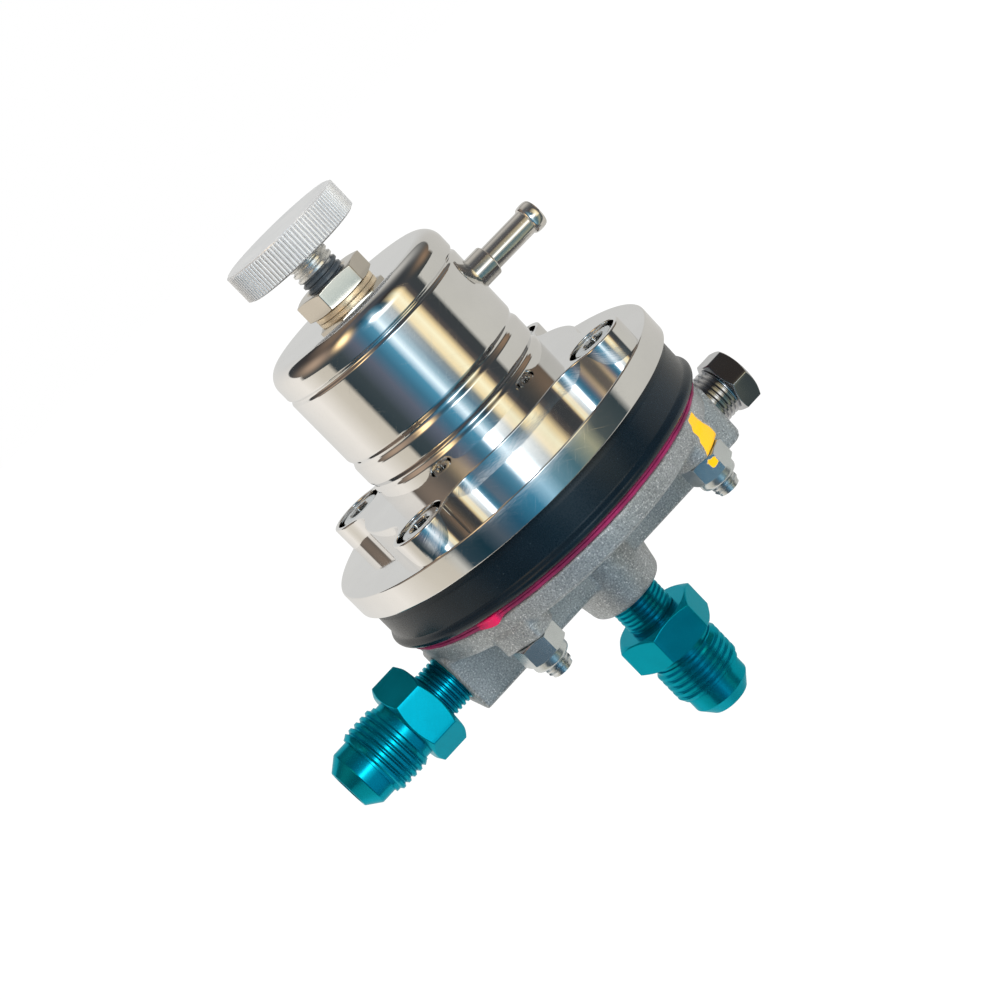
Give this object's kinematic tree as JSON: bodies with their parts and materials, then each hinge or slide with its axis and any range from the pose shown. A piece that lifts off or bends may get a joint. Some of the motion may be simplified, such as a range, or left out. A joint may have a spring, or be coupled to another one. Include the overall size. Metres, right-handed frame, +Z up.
{
  "type": "fuel pressure regulator",
  "caption": "Adjustable diaphragm fuel pressure regulator: polished spring tower, black spacer ring, cast base, flare adaptors, vacuum nipple and knurled adjusting knob.",
  "frame": {"origin": "on the body's axis at the outer end of the outlet's full flare thread", "axes": "+Z up the body's axis to the knob, -X along the inlet, +X along the plug and the vacuum nipple"},
  "size_m": [0.1046, 0.0738, 0.1204],
  "materials": {
    "polished_aluminium": "mirror polished",
    "knob_aluminium": "bright, finely knurled",
    "plated_steel": "bright plated",
    "copper": "satin",
    "nickel": "bright nickel",
    "zinc_steel": "bluish zinc plated",
    "black_ring": "matte with fine grain",
    "diaphragm_rubber": "matte",
    "cast_aluminium": "blasted casting",
    "teal_anodised": "anodised gloss",
    "chrome_plug": "chrome plated",
    "bright_steel": "ground",
    "spring_steel": "oiled spring steel",
    "brass": "turned",
    "seal_rubber": "matte"
  },
  "bodies": {
    "housing": {"bonnet": "polished_aluminium", "seal_washer": "copper", "vacuum_nipple": "nickel", "cover_screws": "zinc_steel", "cover_nuts": "zinc_steel", "spacer_ring": "black_ring", "diaphragm": "diaphragm_rubber", "base_casting": "cast_aluminium", "inlet_fitting": "teal_anodised", "outlet_fitting": "teal_anodised", "port_plug": "chrome_plug", "main_spring": "spring_steel", "valve_seat": "brass"},
    "lock_nut": {"lock_nut": "plated_steel"},
    "spring_seat": {"upper_spring_seat": "bright_steel", "thrust_ball": "bright_steel"},
    "adjuster": {"adjuster_knob": "knob_aluminium", "adjuster_screw": "plated_steel"},
    "valve": {"upper_diaphragm_plate": "bright_steel", "lower_diaphragm_plate": "bright_steel", "valve_stem": "brass", "stem_nut": "zinc_steel", "valve_pad": "seal_rubber"}
  },
  "joints": [
    {"name": "seat_slide", "type": "slide", "parent": "housing", "child": "spring_seat", "axis": [0, 0, 1], "range_m": [-0.005, 0.00375], "deforming": ["main_spring"]},
    {"name": "adjuster_turn", "type": "hinge", "parent": "spring_seat", "child": "adjuster", "pos_m": [0, 0, 0.1], "axis": [0, 0, 1], "range_deg": [-1441, 1081]},
    {"name": "lock_nut_turn", "type": "hinge", "parent": "housing", "child": "lock_nut", "pos_m": [0, 0, 0.0997], "axis": [0, 0, 1], "range_deg": [0, 180]},
    {"name": "valve_lift", "type": "slide", "parent": "housing", "child": "valve", "axis": [0, 0, 1], "range_m": [0, 0.0012], "stiffness_N_per_m": 300, "springref_m": -0.004, "deforming": ["main_spring", "diaphragm"]}
  ],
  "couplings": [
    {"joint": "adjuster_turn", "follows": "seat_slide", "rad_per_m": 5026.5}
  ]
}
